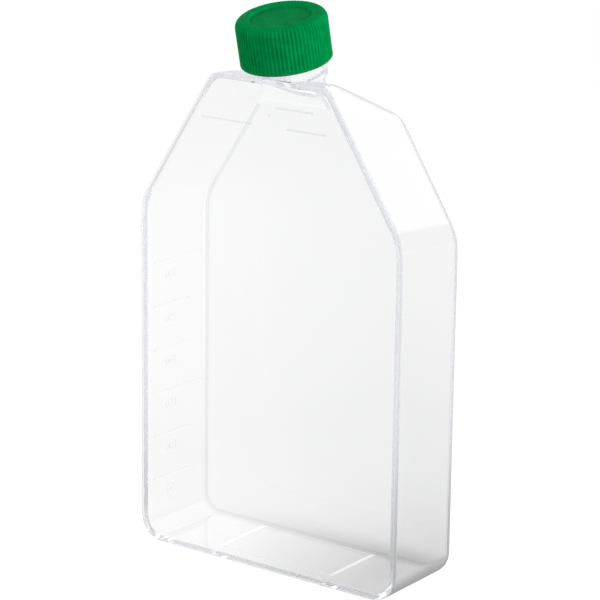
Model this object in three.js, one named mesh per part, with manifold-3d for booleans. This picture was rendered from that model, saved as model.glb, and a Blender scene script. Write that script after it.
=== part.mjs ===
// Cell culture flask with a canted neck and a screw cap, standing on its closed end.
// Millimetres, +Z up. The cover plate faces -Y and the growth surface is the back wall.
import * as THREE from 'three';
import { mergeVertices } from 'three/addons/utils/BufferGeometryUtils.js';
import Module from 'manifold-3d';

// Body outline, as it is on the cover plate
const BODY_WIDTH = 112;
const BODY_HEIGHT = 176.7;
const BODY_DEPTH = 37.8;
const SHOULDER_HEIGHT = 127.3;
const TOP_WIDTH = 49.2;
const BASE_CORNER_RADIUS = 9;
const SHOULDER_RADIUS = 20;
const TOP_CORNER_RADIUS = 8;

// Tray: how far each wall has moved inwards where it meets the back wall. The end wall is level
// beside the cover and then ramps down to the growth surface.
const SIDE_DRAFT = 0.35;
const CHAMFER_DRAFT = 2.3;
const END_WALL_DROP = 13.8;
const RAMP_FROM_COVER = 9.5;
const RAMP_CREASE_REACH = 3;
const TRAY_WALL = 2.0;
const BACK_EDGE_RADIUS = 3.0;
const INNER_EDGE_RADIUS = 2.5;

// Cover plate, welded on the rim of the tray and a little larger than it
const COVER_THICKNESS = 2.0;
const COVER_LIP = 0.25;
const COVER_EDGE_CHAMFER = 0.35;

// A shallow rectangular groove under the base
const BASE_FRAME_WIDTH = 51;
const BASE_FRAME_DEPTH = 26.4;
const BASE_FRAME_FROM_COVER = 8;
const BASE_FRAME_LINE = 1.2;
const BASE_FRAME_CUT = 0.45;

// Raised scale marks on the left side wall
const SCALE_MARKS = 6;
const SCALE_FIRST = 20.4;
const SCALE_STEP = 16.4;
const SCALE_FROM_COVER = 7;
const SCALE_LENGTH = 19.3;
const SCALE_LONG_EVERY = 3;
const SCALE_LONG_EXTRA = 7;
const SCALE_LINE = 0.7;
const SCALE_PROUD = 0.25;

// Raised bars near the top of the cover plate, each with a dot at either end
const COVER_BARS = [
  { left: 4.1, right: 18.8, belowTop: 9.5 },
  { left: 8.9, right: 24.5, belowTop: 16.3 },
  { left: -27.9, right: -7.0, belowTop: 16.2 },
];
const BAR_LINE = 0.5;
const BAR_PROUD = 0.2;
const BAR_DOT_RADIUS = 0.6;

// Neck. Its own frame starts at the lower edge of the cap, with +Z along its axis.
const NECK_CANT_DEG = 13.4;
const NECK_FRAME_FROM_COVER = 10.7;
const NECK_FRAME_ABOVE_COVER = 5.3;
const NECK_RADIUS = 12.3;
const NECK_WALL = 2.9;
const NECK_ROOT_LENGTH = 16;
const NECK_RIM_ROUND = 0.6;
const NECK_RING_RADIUS = 13.6;
const NECK_RING_TOP = -4.2;
const NECK_RING_HEIGHT = 2.0;
const NECK_RING_ROUND = 0.5;
const LUG_WIDTH = 0.5;
const LUG_PROUD = 0.5;
const LUG_BEARING_DEG = 52;

// Thread: a helical ridge on the neck, and its partner inside the cap
const THREAD_PITCH = 4.2;
const THREAD_TURNS = 1.75;
const THREAD_DEPTH = 0.9;
const THREAD_ROOT_WIDTH = 2.0;
const THREAD_CREST_WIDTH = 0.8;
const THREAD_BELOW_RIM = 1.6;
const CAP_THREAD_DEPTH = 0.7;

// Cap
const CAP_HEIGHT = 16.4;
const CAP_RADIUS = 15.95;
const CAP_RIBS = 72;
const CAP_RIB_DEPTH = 0.45;
const CAP_RIB_CREST = 0.42;
const CAP_RIBS_BELOW_TOP = 0.5;
const CAP_BAND_HEIGHT = 1.3;
const CAP_SHOULDER_RADIUS = 3.0;
const CAP_RIM_FALL = 0.3;
const CAP_RECESS_RADIUS = 11.3;
const CAP_RECESS_DEPTH = 1.1;
const CAP_RECESS_SLOPE = 0.5;
const CAP_TOP_THICKNESS = 1.6;
const CAP_PLUG_LENGTH = 4.6;
const CAP_PLUG_WALL = 1.2;
const CAP_MOUTH_CHAMFER = 0.4;

// Clearances
const THREAD_CLEARANCE = 0.4;
const PLUG_CLEARANCE = 0.3;
const SEAT_CLEARANCE = 0.3;
const COVER_TO_NECK_GAP = 0.3;

// Fineness of round stretches, and how far a piece or cutter runs past the face it meets
const ROUND_SEGMENTS = 72;
const THREAD_SEGMENTS = 36;
const THREAD_FADE_STEPS = 6;
const DOT_SEGMENTS = 12;
const CORNER_STEPS = 6;
const FILLET_STEPS = 4;
const OVERRUN = 1;
const SAME_POINT = 1e-5;

const wasm = await Module();
wasm.setup();

const boreRadius = NECK_RADIUS - NECK_WALL;
const capCeiling = CAP_HEIGHT - CAP_RECESS_DEPTH - CAP_TOP_THICKNESS;
const neckTop = capCeiling - SEAT_CLEARANCE;
const neckThreadRadius = NECK_RADIUS + THREAD_DEPTH;
const capBoreRadius = neckThreadRadius + THREAD_CLEARANCE + CAP_THREAD_DEPTH;
const rampSlope = END_WALL_DROP / (BODY_DEPTH - RAMP_FROM_COVER);

const neckCant = THREE.MathUtils.degToRad(NECK_CANT_DEG);
const neckFrame = new THREE.Matrix4()
  .makeRotationX(neckCant)
  .setPosition(0, NECK_FRAME_FROM_COVER, BODY_HEIGHT + NECK_FRAME_ABOVE_COVER);

// ---- solids ----------------------------------------------------------------

function toSolid(geometry, matrix) {
  const bare = geometry.clone();
  bare.deleteAttribute('normal');
  bare.deleteAttribute('uv');
  if (matrix) bare.applyMatrix4(matrix);
  const merged = mergeVertices(bare, SAME_POINT);
  return new wasm.Manifold(new wasm.Mesh({
    numProp: 3,
    vertProperties: new Float32Array(merged.attributes.position.array),
    triVerts: new Uint32Array(merged.index.array),
  }));
}

function toGeometry(solid) {
  const mesh = solid.getMesh();
  const geometry = new THREE.BufferGeometry();
  geometry.setAttribute('position', new THREE.BufferAttribute(mesh.vertProperties, 3));
  geometry.setIndex(new THREE.BufferAttribute(mesh.triVerts, 1));
  geometry.computeVertexNormals();
  return geometry;
}

function box(min, max) {
  const size = max.map((value, i) => value - min[i]);
  const centre = max.map((value, i) => (value + min[i]) / 2);
  return toSolid(new THREE.BoxGeometry(...size).translate(...centre));
}

// A solid of revolution about +Z from [radius, height] pairs that run from axis to axis.
function turned(profile, matrix) {
  const points = profile.map(([radius, height]) => new THREE.Vector2(radius, height));
  const geometry = new THREE.LatheGeometry(points, ROUND_SEGMENTS).rotateX(Math.PI / 2);
  return toSolid(geometry, matrix);
}

// A round of [radius, height] pairs between two angles in degrees above the radius axis.
function round(radius, height, size, from, to, steps) {
  return Array.from({ length: steps + 1 }, (_, i) => {
    const angle = THREE.MathUtils.degToRad(from + ((to - from) * i) / steps);
    return [radius + size * Math.cos(angle), height + size * Math.sin(angle)];
  });
}

// Skins a closed solid over convex rings that all have the same number of points. Seen from
// the last ring, the points of each ring run clockwise.
function skin(rings, matrix) {
  const count = rings[0].length;
  const last = (rings.length - 1) * count;
  const triangles = [];
  for (let i = 1; i < count - 1; i += 1) {
    triangles.push(0, i, i + 1, last, last + i + 1, last + i);
  }
  for (let base = 0; base < last; base += count) {
    for (let i = 0; i < count; i += 1) {
      const a = base + i;
      const b = base + ((i + 1) % count);
      triangles.push(a, a + count, b + count, a, b + count, b);
    }
  }
  const geometry = new THREE.BufferGeometry().setFromPoints(rings.flat());
  return toSolid(geometry.setIndex(triangles), matrix);
}

// ---- body outline ----------------------------------------------------------

// Replaces each corner of a counter-clockwise polygon by an arc.
function roundCorners(corners) {
  return corners.flatMap(({ at, radius }, i) => {
    const before = corners[(i + corners.length - 1) % corners.length].at;
    const after = corners[(i + 1) % corners.length].at;
    const toBefore = before.clone().sub(at).normalize();
    const toAfter = after.clone().sub(at).normalize();
    const halfAngle = toBefore.angleTo(toAfter) / 2;
    const inwards = toBefore.clone().add(toAfter).normalize();
    const centre = at.clone().addScaledVector(inwards, radius / Math.sin(halfAngle));
    const spoke = at.clone().addScaledVector(toBefore, radius / Math.tan(halfAngle)).sub(centre);
    const sweep = Math.PI - 2 * halfAngle;
    return Array.from({ length: CORNER_STEPS + 1 }, (_, step) =>
      spoke.clone().rotateAround(new THREE.Vector2(), (sweep * step) / CORNER_STEPS).add(centre));
  });
}

// Height of the outside of the end wall at y behind the cover's face.
function endWallHeight(y) {
  const past = y - RAMP_FROM_COVER;
  if (past <= -RAMP_CREASE_REACH) return BODY_HEIGHT;
  if (past >= RAMP_CREASE_REACH) return BODY_HEIGHT - rampSlope * past;
  return BODY_HEIGHT - (rampSlope * (past + RAMP_CREASE_REACH) ** 2) / (4 * RAMP_CREASE_REACH);
}

// The ring of the body at y behind the cover's face, moved inwards by inset. The base line can
// have an inset of its own, so that the tray and the wider cover stand on the same plane.
function bodyRing(y, inset, baseInset = inset) {
  const depthShare = y / BODY_DEPTH;
  const half = BODY_WIDTH / 2;
  const side = half - SIDE_DRAFT * depthShare - inset;
  const top = endWallHeight(y) - inset * (y > RAMP_FROM_COVER ? Math.hypot(1, rampSlope) : 1);
  const chamfer = new THREE.Vector2(BODY_HEIGHT - SHOULDER_HEIGHT, half - TOP_WIDTH / 2).normalize();
  const reach = chamfer.dot(new THREE.Vector2(half, SHOULDER_HEIGHT)) - CHAMFER_DRAFT * depthShare - inset;
  const shoulder = new THREE.Vector2(side, (reach - chamfer.x * side) / chamfer.y);
  const crown = new THREE.Vector2((reach - chamfer.y * top) / chamfer.x, top);
  const mirrored = (point) => new THREE.Vector2(-point.x, point.y);
  const inner = (radius) => Math.max(radius - inset, INNER_EDGE_RADIUS);
  return roundCorners([
    { at: new THREE.Vector2(-side, baseInset), radius: inner(BASE_CORNER_RADIUS) },
    { at: new THREE.Vector2(side, baseInset), radius: inner(BASE_CORNER_RADIUS) },
    { at: shoulder, radius: inner(SHOULDER_RADIUS) },
    { at: crown, radius: inner(TOP_CORNER_RADIUS) },
    { at: mirrored(crown), radius: inner(TOP_CORNER_RADIUS) },
    { at: mirrored(shoulder), radius: inner(SHOULDER_RADIUS) },
  ]).map((point) => new THREE.Vector3(point.x, y, point.y));
}

// A tub from the seam to the back with a rounded back edge, its walls moved inwards by inset.
function tub(front, back, inset, edgeRadius) {
  const crease = Array.from({ length: FILLET_STEPS + 1 }, (_, i) =>
    RAMP_FROM_COVER + RAMP_CREASE_REACH * ((2 * i) / FILLET_STEPS - 1));
  const rings = [front, ...crease].map((y) => bodyRing(y, COVER_LIP + inset, inset));
  for (let step = 0; step <= FILLET_STEPS; step += 1) {
    const angle = (Math.PI / 2) * (step / FILLET_STEPS);
    const y = back - edgeRadius * (1 - Math.sin(angle));
    const wall = inset + edgeRadius * (1 - Math.cos(angle));
    rings.push(bodyRing(y, COVER_LIP + wall, wall));
  }
  return skin(rings);
}

// ---- tray with neck --------------------------------------------------------

function neckTube() {
  const ringBottom = NECK_RING_TOP - NECK_RING_HEIGHT;
  const ringEdge = NECK_RING_RADIUS - NECK_RING_ROUND;
  return turned([
    [0, -NECK_ROOT_LENGTH],
    [NECK_RADIUS, -NECK_ROOT_LENGTH],
    [NECK_RADIUS, ringBottom],
    ...round(ringEdge, ringBottom + NECK_RING_ROUND, NECK_RING_ROUND, -90, 0, FILLET_STEPS),
    ...round(ringEdge, NECK_RING_TOP - NECK_RING_ROUND, NECK_RING_ROUND, 0, 90, FILLET_STEPS),
    [NECK_RADIUS, NECK_RING_TOP],
    ...round(NECK_RADIUS - NECK_RIM_ROUND, neckTop - NECK_RIM_ROUND, NECK_RIM_ROUND, 0, 90, FILLET_STEPS),
    [0, neckTop],
  ], neckFrame);
}

function neckBore() {
  return turned([
    [0, -NECK_ROOT_LENGTH - OVERRUN],
    [boreRadius, -NECK_ROOT_LENGTH - OVERRUN],
    [boreRadius, neckTop - NECK_RIM_ROUND],
    [boreRadius + NECK_RIM_ROUND, neckTop],
    [boreRadius + NECK_RIM_ROUND, neckTop + OVERRUN],
    [0, neckTop + OVERRUN],
  ], neckFrame);
}

// A helical ridge that stands between two radii, foot and crest, and fades at both ends.
function threadRidge(foot, crest, start, matrix) {
  const steps = Math.round(THREAD_TURNS * THREAD_SEGMENTS);
  const rings = [];
  for (let step = 0; step <= steps; step += 1) {
    const turn = (THREAD_TURNS * step) / steps;
    const angle = 2 * Math.PI * turn;
    const height = start + THREAD_PITCH * turn;
    const fade = Math.min(step + 1, steps - step + 1, THREAD_FADE_STEPS) / THREAD_FADE_STEPS;
    const top = foot + (crest - foot) * fade;
    const corner = (radius, lift) => new THREE.Vector3(
      radius * Math.cos(angle),
      radius * Math.sin(angle),
      height + lift,
    );
    const ring = [
      corner(foot, -THREAD_ROOT_WIDTH / 2),
      corner(foot, THREAD_ROOT_WIDTH / 2),
      corner(top, THREAD_CREST_WIDTH / 2),
      corner(top, -THREAD_CREST_WIDTH / 2),
    ];
    rings.push(crest > foot ? ring.reverse() : ring);
  }
  return skin(rings, matrix);
}

function neckThread() {
  const start = neckTop - THREAD_BELOW_RIM - THREAD_ROOT_WIDTH / 2 - THREAD_PITCH * THREAD_TURNS;
  return threadRidge(NECK_RADIUS - OVERRUN / 2, neckThreadRadius, start, neckFrame);
}

// A thin upright rib low on the neck, from the ring to just below the cap.
function neckLug() {
  const reach = NECK_RADIUS + LUG_PROUD;
  const length = -SEAT_CLEARANCE - NECK_RING_TOP + NECK_RING_HEIGHT / 2;
  const lug = new THREE.BoxGeometry(LUG_WIDTH, NECK_WALL, length)
    .translate(0, NECK_WALL / 2 - reach, -SEAT_CLEARANCE - length / 2)
    .rotateZ(THREE.MathUtils.degToRad(LUG_BEARING_DEG));
  return toSolid(lug, neckFrame);
}

// The room of the cover plate, which the root of the neck stays out of.
function coverRoom() {
  return box(
    [-BODY_WIDTH, -BODY_DEPTH, 0],
    [BODY_WIDTH, COVER_THICKNESS, BODY_HEIGHT + COVER_TO_NECK_GAP],
  );
}

function baseFrameGroove() {
  const panel = (inset) => box(
    [-BASE_FRAME_WIDTH / 2 + inset, BASE_FRAME_FROM_COVER + inset, -OVERRUN],
    [BASE_FRAME_WIDTH / 2 - inset, BASE_FRAME_FROM_COVER + BASE_FRAME_DEPTH - inset, BASE_FRAME_CUT],
  );
  return panel(0).subtract(panel(BASE_FRAME_LINE));
}

function scaleMarks() {
  const lean = Math.atan(SIDE_DRAFT / BODY_DEPTH);
  const thickness = SCALE_PROUD + TRAY_WALL / 2;
  const marks = Array.from({ length: SCALE_MARKS }, (_, i) => {
    const long = (i + 1) % SCALE_LONG_EVERY === 0;
    const length = SCALE_LENGTH + (long ? SCALE_LONG_EXTRA : 0);
    return toSolid(new THREE.BoxGeometry(thickness, length, SCALE_LINE)
      .translate(thickness / 2 - SCALE_PROUD, SCALE_FROM_COVER + length / 2, 0)
      .rotateZ(-lean)
      .translate(-BODY_WIDTH / 2 + COVER_LIP, 0, SCALE_FIRST + i * SCALE_STEP));
  });
  return wasm.Manifold.union(marks);
}

function flaskTray() {
  return tub(COVER_THICKNESS, BODY_DEPTH, 0, BACK_EDGE_RADIUS)
    .add(neckTube())
    .add(neckLug())
    .subtract(coverRoom())
    .subtract(tub(COVER_THICKNESS - OVERRUN, BODY_DEPTH - TRAY_WALL, TRAY_WALL, INNER_EDGE_RADIUS))
    .subtract(neckBore())
    .subtract(baseFrameGroove())
    .add(neckThread())
    .add(scaleMarks());
}

// ---- cover plate -----------------------------------------------------------

function coverBar({ left, right, belowTop }) {
  const height = BODY_HEIGHT - belowTop;
  const middle = COVER_THICKNESS / 2;
  const bar = box([left, -BAR_PROUD, height - BAR_LINE / 2], [right, middle, height + BAR_LINE / 2]);
  const dots = [left, right].map((x) => toSolid(
    new THREE.CylinderGeometry(BAR_DOT_RADIUS, BAR_DOT_RADIUS, middle + BAR_PROUD, DOT_SEGMENTS)
      .translate(x, (middle - BAR_PROUD) / 2, height),
  ));
  return wasm.Manifold.union([bar, ...dots]);
}

function coverPlate() {
  const plate = skin([
    bodyRing(0, COVER_EDGE_CHAMFER),
    bodyRing(COVER_EDGE_CHAMFER, 0),
    bodyRing(COVER_THICKNESS, 0),
  ]);
  return wasm.Manifold.union([plate, ...COVER_BARS.map(coverBar)]);
}

// ---- cap -------------------------------------------------------------------

// The cap's outside below its ribs, or around their crests, as a plain solid.
function capOutside(radius) {
  const crest = radius - CAP_SHOULDER_RADIUS;
  return turned([
    [0, 0],
    [radius, 0],
    [radius, CAP_HEIGHT - CAP_SHOULDER_RADIUS],
    ...round(crest, CAP_HEIGHT - CAP_SHOULDER_RADIUS, CAP_SHOULDER_RADIUS, 0, 90, CORNER_STEPS),
    [0, CAP_HEIGHT],
  ]);
}

// Ribs that run up the side and fade into the shoulder.
function capRibs() {
  const root = CAP_RADIUS - CAP_RIB_DEPTH;
  const pitch = (2 * Math.PI) / CAP_RIBS;
  const flank = CAP_RIB_DEPTH / CAP_RADIUS;
  const crest = CAP_RIB_CREST / CAP_RADIUS;
  const rib = [[0, root], [flank, CAP_RADIUS], [flank + crest, CAP_RADIUS], [2 * flank + crest, root]];
  const outline = Array.from({ length: CAP_RIBS }, (_, i) => rib.map(([turn, radius]) =>
    new THREE.Vector2(radius, 0).rotateAround(new THREE.Vector2(), i * pitch + turn))).flat();
  const depth = CAP_HEIGHT - CAP_RIBS_BELOW_TOP - CAP_BAND_HEIGHT;
  const column = new THREE.ExtrudeGeometry(new THREE.Shape(outline), { depth, bevelEnabled: false });
  return toSolid(column.translate(0, 0, CAP_BAND_HEIGHT)).intersect(capOutside(CAP_RADIUS));
}

// The plain band at the mouth of the cap.
function capBand() {
  const edge = CAP_MOUTH_CHAMFER / 2;
  return turned([
    [0, 0],
    [CAP_RADIUS - edge, 0],
    [CAP_RADIUS, edge],
    [CAP_RADIUS, CAP_BAND_HEIGHT],
    [CAP_RADIUS - CAP_RIB_DEPTH, CAP_BAND_HEIGHT + CAP_RIB_DEPTH],
    [0, CAP_BAND_HEIGHT + CAP_RIB_DEPTH],
  ]);
}

// The hollow for the neck, with the plug ring standing in it.
function capHollow() {
  const plug = boreRadius - PLUG_CLEARANCE;
  const plugEnd = capCeiling - CAP_PLUG_LENGTH;
  return turned([
    [0, -OVERRUN],
    [capBoreRadius + CAP_MOUTH_CHAMFER, -OVERRUN],
    [capBoreRadius + CAP_MOUTH_CHAMFER, 0],
    [capBoreRadius, CAP_MOUTH_CHAMFER],
    [capBoreRadius, capCeiling],
    [plug, capCeiling],
    [plug, plugEnd + CAP_PLUG_WALL],
    [plug - CAP_PLUG_WALL / 2, plugEnd],
    [plug - CAP_PLUG_WALL, plugEnd],
    [plug - CAP_PLUG_WALL, capCeiling],
    [0, capCeiling],
  ]);
}

function capRecess() {
  return turned([
    [0, CAP_HEIGHT - CAP_RECESS_DEPTH],
    [CAP_RECESS_RADIUS - CAP_RECESS_SLOPE, CAP_HEIGHT - CAP_RECESS_DEPTH],
    [CAP_RECESS_RADIUS, CAP_HEIGHT - CAP_RIM_FALL],
    [CAP_RECESS_RADIUS + CAP_RIM_FALL, CAP_HEIGHT],
    [CAP_RECESS_RADIUS + CAP_RIM_FALL, CAP_HEIGHT + OVERRUN],
    [0, CAP_HEIGHT + OVERRUN],
  ]);
}

function capThread() {
  const start = CAP_MOUTH_CHAMFER + THREAD_ROOT_WIDTH;
  return threadRidge(capBoreRadius + OVERRUN / 2, capBoreRadius - CAP_THREAD_DEPTH, start);
}

function screwCap() {
  return capOutside(CAP_RADIUS - CAP_RIB_DEPTH)
    .add(capRibs())
    .add(capBand())
    .subtract(capHollow())
    .subtract(capRecess())
    .add(capThread());
}

// ---- assembly --------------------------------------------------------------

const clearPlastic = { color: 0xeef3f4, roughness: 0.08, metalness: 0, transparent: true, opacity: 0.35 };
const greenPlastic = { color: 0x04783a, roughness: 0.42, metalness: 0 };

function named(name, solid, finish) {
  const mesh = new THREE.Mesh(toGeometry(solid), new THREE.MeshStandardMaterial(finish));
  mesh.name = name;
  return mesh;
}

const neck = new THREE.Group();
neck.applyMatrix4(neckFrame);
neck.add(named('screw_cap', screwCap(), greenPlastic));

// The origin is the middle of the base.
const flask = new THREE.Group();
flask.position.y = -BODY_DEPTH / 2;
flask.add(named('flask_tray', flaskTray(), clearPlastic));
flask.add(named('cover_plate', coverPlate(), clearPlastic));
flask.add(neck);

export default flask;
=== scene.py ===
"""Cell culture flask with a canted neck and a screw cap: fine shapes, finishes and stage."""

import math

import bmesh
import bpy
from bpy.props import FloatProperty, FloatVectorProperty, IntProperty, PointerProperty
from mathutils import Matrix, Vector


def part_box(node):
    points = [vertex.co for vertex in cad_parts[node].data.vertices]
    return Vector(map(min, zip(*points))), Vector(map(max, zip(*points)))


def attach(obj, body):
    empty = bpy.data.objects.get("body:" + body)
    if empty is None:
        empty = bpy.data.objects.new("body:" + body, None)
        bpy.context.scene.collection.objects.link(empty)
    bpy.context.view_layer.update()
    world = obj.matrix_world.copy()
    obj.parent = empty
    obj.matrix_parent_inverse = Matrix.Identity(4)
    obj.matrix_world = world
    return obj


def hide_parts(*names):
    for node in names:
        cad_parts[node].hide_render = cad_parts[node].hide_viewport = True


bl_info = {
    "name": "Cell Culture Flask",
    "version": (1, 0, 0),
    "blender": (4, 5, 0),
    "location": "View3D > Sidebar > Flask",
    "description": "Builds the clear tray, the cover plate, the screw cap and the stage",
    "category": "Object",
}

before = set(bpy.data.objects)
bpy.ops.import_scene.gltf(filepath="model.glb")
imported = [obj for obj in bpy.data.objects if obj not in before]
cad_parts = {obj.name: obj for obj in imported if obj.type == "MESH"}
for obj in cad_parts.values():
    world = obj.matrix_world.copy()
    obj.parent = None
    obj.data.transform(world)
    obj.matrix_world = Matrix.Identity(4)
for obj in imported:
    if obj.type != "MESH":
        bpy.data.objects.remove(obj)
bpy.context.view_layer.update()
COVER_LOW, COVER_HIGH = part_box("cover_plate")
HALF_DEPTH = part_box("flask_tray")[1].y

MM = 0.001
FRONT = -HALF_DEPTH


def length(name, description, millimetres, low=0.0):
    return FloatProperty(
        name=name, description=description, default=millimetres * MM, min=low, unit="LENGTH")


def metres(name, description, value):
    return FloatProperty(name=name, description=description, default=value, unit="LENGTH")


def angle_of(name, description, degrees):
    return FloatProperty(
        name=name, description=description, default=math.radians(degrees), unit="ROTATION")


def level_of(name, description, value, high=100.0):
    return FloatProperty(name=name, description=description, default=value, min=0, max=high)


def colour_of(name, description, value):
    return FloatVectorProperty(
        name=name, description=description, default=value, subtype="COLOR", min=0, max=1)


def whole(name, description, value, high=1000):
    return IntProperty(name=name, description=description, default=value, min=1, max=high)


class BodySettings(bpy.types.PropertyGroup):
    """Sizes of the clear tray and its cover plate. The front is the cover's outer face."""

    width: metres("Width", "Width of the cover plate", COVER_HIGH.x - COVER_LOW.x)
    height: metres("Height", "Height of the cover plate", COVER_HIGH.z)
    depth: metres("Depth", "Front to back", 2 * HALF_DEPTH)
    shoulder_height: length("Shoulder height", "Where the slopes start", 127.3)
    top_width: length("Top width", "Width of the plate's level top", 49.2)
    base_corner: length("Base corner", "Radius at the base", 9)
    shoulder_round: length("Shoulder round", "Radius of the shoulders", 20)
    top_corner: length("Top corner", "Radius at the top", 8)
    side_draft: length("Side draft", "How far the sides close in at the back", 0.35)
    slope_draft: length("Slope draft", "How far the slopes close in at the back", 2.3)
    end_drop: length("End wall drop", "How far the end wall falls to the back", 13.8)
    ramp_start: length("Ramp start", "Where it starts to fall, from the front", 9.5)
    crease_reach: length("Crease reach", "Half the length of the bend before the ramp", 3)
    wall: length("Wall", "Thickness of the tray", 2)
    back_edge: length("Back edge", "Outer radius round the growth surface", 3)
    inner_edge: length("Inner edge", "Inner radius round the growth surface", 1.2)
    cover: length("Cover", "Thickness of the cover plate", 2)
    lip: length("Lip", "How far the plate stands proud of the tray", 0.25)
    cover_edge: length("Cover edge", "Radius along the plate's edge", 0.45)
    groove_width: length("Groove width", "Width of the rectangle under the base", 51)
    groove_depth: length("Groove depth", "Depth of that rectangle", 26.4)
    groove_start: length("Groove start", "Where it starts, from the front", 8)
    groove_line: length("Groove line", "Width of the groove at both ends", 1.9)
    groove_fine: length("Fine line", "Width of the groove along the sides", 0.5)
    groove_cut: length("Groove cut", "How deep the groove is", 0.45)


class NeckSettings(bpy.types.PropertyGroup):
    """Sizes of the canted neck and its thread. Heights are from the cap's mouth."""

    cant: angle_of("Cant", "How far the neck leans to the front", 13.4)
    from_cover: length("From cover", "From the front to the axis at the cap's mouth", 10.7)
    above_cover: length("Above cover", "From the plate's top up to that point", 5.3)
    radius: length("Radius", "Outer radius of the neck", 12.3)
    wall: length("Wall", "Thickness of the neck", 2.9)
    root: length("Root", "How far the neck reaches down", 16)
    top: length("Top", "Height of the rim", 13.4)
    rim_round: length("Rim round", "Radius of the rim's edge", 0.6)
    ring_radius: length("Ring radius", "Outer radius of the ring below the cap", 13.6)
    ring_top: length("Ring top", "Height of the ring's upper face", -4.2, -100)
    ring_height: length("Ring height", "Thickness of the ring", 2)
    ring_round: length("Ring round", "Radius of the ring's edges", 0.5)
    thread_pitch: length("Thread pitch", "Rise of the thread in one turn", 4.2)
    thread_depth: length("Thread depth", "How far the thread stands out", 0.9)
    thread_turns: level_of("Thread turns", "Number of turns", 1.75, 3)
    thread_root: length("Thread root", "Width of the thread at its foot", 2)
    thread_crest: length("Thread crest", "Width of the thread at its crest", 0.8)
    thread_below_rim: length("Thread below rim", "Clear height below the rim", 1.6)
    lug_width: length("Lug width", "Width of the upright rib below the cap", 0.5)
    lug_proud: length("Lug proud", "How far that rib stands out", 0.5)
    lug_bearing: angle_of("Lug bearing", "Where it is, round the neck from the front", 52)


class MarkSettings(bpy.types.PropertyGroup):
    """Raised scale, numbers and writing bars."""

    count: whole("Marks", "Number of scale marks", 6, 20)
    first: length("First mark", "Height of the lowest mark", 20.4)
    step: length("Step", "Rise from mark to mark", 16.4)
    start: length("Mark start", "Where the marks start, from the front", 7)
    reach: length("Mark length", "Length of a short mark", 19.3)
    long_every: whole("Long every", "Every so many marks one is long", 3)
    long_extra: length("Long extra", "How much longer it is", 7)
    line: length("Mark width", "Width of a mark", 0.7)
    proud: length("Mark height", "How far a mark stands out", 0.25)
    unit: whole("Number step", "Rise of the numbers from mark to mark", 50)
    number_size: length("Number size", "Height of the type", 4.6)
    number_from_cover: length("Number place", "Middle of the numbers, from the front", 16.5)
    number_below: length("Number below", "Middle of a number below its mark", 5.6)
    number_proud: length("Number height", "How far a number stands out", 0.15)
    bar_line: length("Bar width", "Width of a writing bar", 0.55)
    bar_proud: length("Bar height", "How far a bar stands out", 0.3)
    bar_dot: length("Bar dot", "Radius of the dots at its ends", 0.4)


class CapSettings(bpy.types.PropertyGroup):
    """Sizes of the screw cap."""

    height: length("Height", "Height of the cap", 16.4)
    radius: length("Radius", "Radius over the ribs", 15.95)
    ribs: whole("Ribs", "Number of grip ribs", 72, 120)
    rib_depth: length("Rib depth", "How far the ribs stand out", 0.33)
    rib_end: length("Rib end", "Where the ribs end, below the top", 0.3)
    band: length("Band", "Height of the plain band at the mouth", 0.8)
    shoulder: length("Shoulder", "Radius between side and top", 3)
    rim_fall: length("Rim fall", "Size of the round edge of the recess", 0.3)
    recess_radius: length("Recess radius", "Radius of the recess in the top", 11.3)
    recess_depth: length("Recess depth", "Depth of the recess", 1.1)
    recess_slope: length("Recess slope", "How far it closes in at its floor", 0.5)
    top: length("Top", "Thickness of the top", 1.6)
    plug_length: length("Plug length", "How far the plug ring hangs down", 4.6)
    plug_wall: length("Plug wall", "Thickness of the plug ring", 1.2)
    plug_radius: length("Plug radius", "Outer radius of the plug ring", 9.1)
    mouth_edge: length("Mouth edge", "Bevel inside the mouth", 0.4)
    bore: length("Bore", "Inner radius of the skirt", 14.3)
    thread_depth: length("Thread depth", "How far the thread stands in", 0.7)


class FinishSettings(bpy.types.PropertyGroup):
    """Colours of the two plastics, and the painted glow and painted shade in the clear one."""

    clear_colour: colour_of("Clear colour", "Tint of the clear plastic", (0.995, 0.995, 0.995))
    # Painted shade: a darker clear colour on the writing bars and the round inner edge
    bar_and_edge_shade: colour_of("Bar and edge shade", "Tint of bars and round inner edge", (0.78, 0.79, 0.81))
    # Painted light: the groove ceilings under the base glow by emission
    foot_glow: level_of("Foot glow", "Light caught in the two bars under the base", 0.22)
    # Painted light: a grey glow stands in for light caught in the clear walls and greys their edges
    painted_glow: colour_of("Painted glow", "What light turns into inside the clear walls", (0.74, 0.755, 0.785))
    painted_glow_at_base: level_of("Haze at base", "Level of the haze low at the right", 0.5, 1)
    painted_glow_share: level_of("Haze share", "Part of the light that each further bounce turns", 0.24, 1)
    # Painted shade on the rims of clear faces that turn away from the camera
    rim_share: level_of("Rim share", "Part of the haze where a clear edge turns away", 0.9, 1)
    clear_bounces: level_of("Clear bounces", "Bounces before the haze starts", 6.5)
    cap_colour: colour_of("Cap colour", "Colour of the screw cap", (0.0003, 0.19, 0.046))
    cap_shade: colour_of("Cap shade", "Deeper tone in its moulding flow", (0.0002, 0.15, 0.036))


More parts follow.
